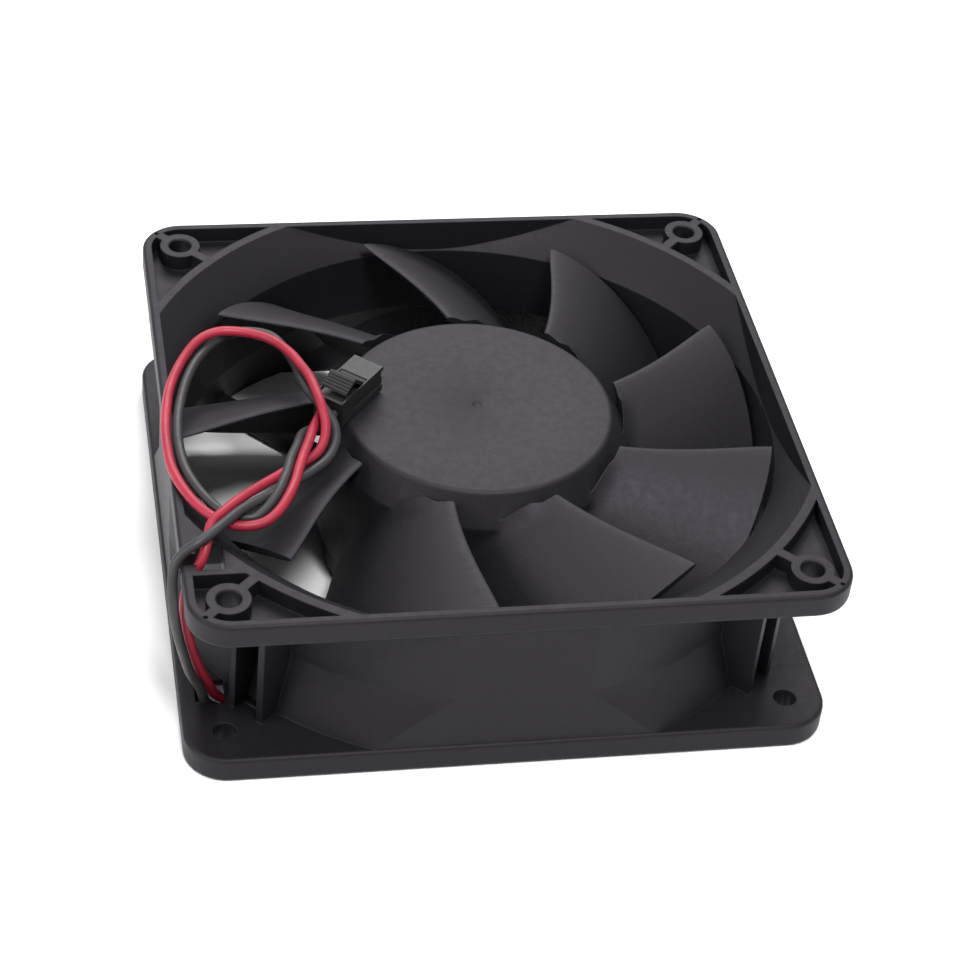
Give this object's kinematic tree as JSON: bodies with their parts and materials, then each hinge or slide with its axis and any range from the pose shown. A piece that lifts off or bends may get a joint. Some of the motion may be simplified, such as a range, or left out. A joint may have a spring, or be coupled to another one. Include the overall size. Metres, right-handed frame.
{
  "type": "axial cooling fan",
  "caption": "Square-framed axial case fan with a bladed rotor on a plain hub, open corners between its flanges, and a coiled two-core lead with a latching plug.",
  "frame": {"origin": "centre of the exhaust face of the frame, on the rotor axis", "axes": "+Z along the rotor axis towards the intake face with the hub cap, +X and +Y square to the sides of the frame, the wire passage in the corner at -X -Y"},
  "size_m": [0.1225, 0.12, 0.0442],
  "materials": {
    "frame_plastic": "matte, fine moulded grain",
    "impeller_plastic": "matte, fine moulded grain",
    "steel": "ground",
    "yoke_steel": "zinc plated",
    "brass": "turned",
    "lamination": "stacked sheet",
    "ferrite": "sintered",
    "copper": "enamelled winding wire",
    "natural_nylon": "moulded",
    "green_laminate": "solder resist",
    "epoxy": "moulded",
    "ceramic": "fired",
    "label_film": "printed film, left blank",
    "red_insulation": "satin PVC",
    "black_insulation": "satin PVC",
    "plug_nylon": "satin",
    "tinned": "tin plated"
  },
  "bodies": {
    "frame": {"fan_frame": "frame_plastic", "bearing_tube": "brass", "stator_core": "lamination", "stator_insulator_lower": "natural_nylon", "stator_insulator_upper": "natural_nylon", "circuit_board": "green_laminate", "driver_chip": "epoxy", "hall_sensor": "epoxy", "board_capacitor": "ceramic", "protection_diode": "epoxy", "board_resistor": "ceramic", "rear_label": "label_film", "lead_red": "red_insulation", "lead_black": "black_insulation", "connector_housing": "plug_nylon", "contact_red": "tinned", "contact_black": "tinned", "coil_1": "copper", "coil_2": "copper", "coil_3": "copper", "coil_4": "copper", "bearing_lower_outer_ring": "steel", "bearing_lower_inner_shield": "steel", "bearing_lower_outer_shield": "steel", "bearing_upper_outer_ring": "steel", "bearing_upper_inner_shield": "steel", "bearing_upper_outer_shield": "steel"},
    "rotor": {"impeller": "impeller_plastic", "rotor_yoke": "yoke_steel", "magnet_ring": "ferrite", "rotor_shaft": "steel", "shaft_insert": "brass", "retaining_clip": "steel", "thrust_washer": "natural_nylon", "preload_spring": "steel", "bearing_lower_inner_ring": "steel", "bearing_upper_inner_ring": "steel"},
    "lower_balls": {"bearing_lower_balls": "steel"},
    "upper_balls": {"bearing_upper_balls": "steel"},
    "latch": {"connector_latch": "plug_nylon"}
  },
  "joints": [
    {"name": "rotor_spin", "type": "hinge", "parent": "frame", "child": "rotor", "pos_m": [0, 0, 0], "axis": [0, 0, 1], "continuous": true},
    {"name": "lower_balls_spin", "type": "hinge", "parent": "frame", "child": "lower_balls", "pos_m": [0, 0, 0.0051], "axis": [0, 0, 1], "continuous": true},
    {"name": "upper_balls_spin", "type": "hinge", "parent": "frame", "child": "upper_balls", "pos_m": [0, 0, 0.027], "axis": [0, 0, 1], "continuous": true},
    {"name": "latch_press", "type": "hinge", "parent": "frame", "child": "latch", "pos_m": [-0.02271, 0.00413, 0.0415], "axis": [0.766, -0.6428, 0], "range_deg": [0, 5.5], "stiffness_Nm_per_rad": 0.005}
  ],
  "couplings": [
    {"joint": "lower_balls_spin", "follows": "rotor_spin", "ratio": 0.428},
    {"joint": "upper_balls_spin", "follows": "rotor_spin", "ratio": 0.428}
  ]
}
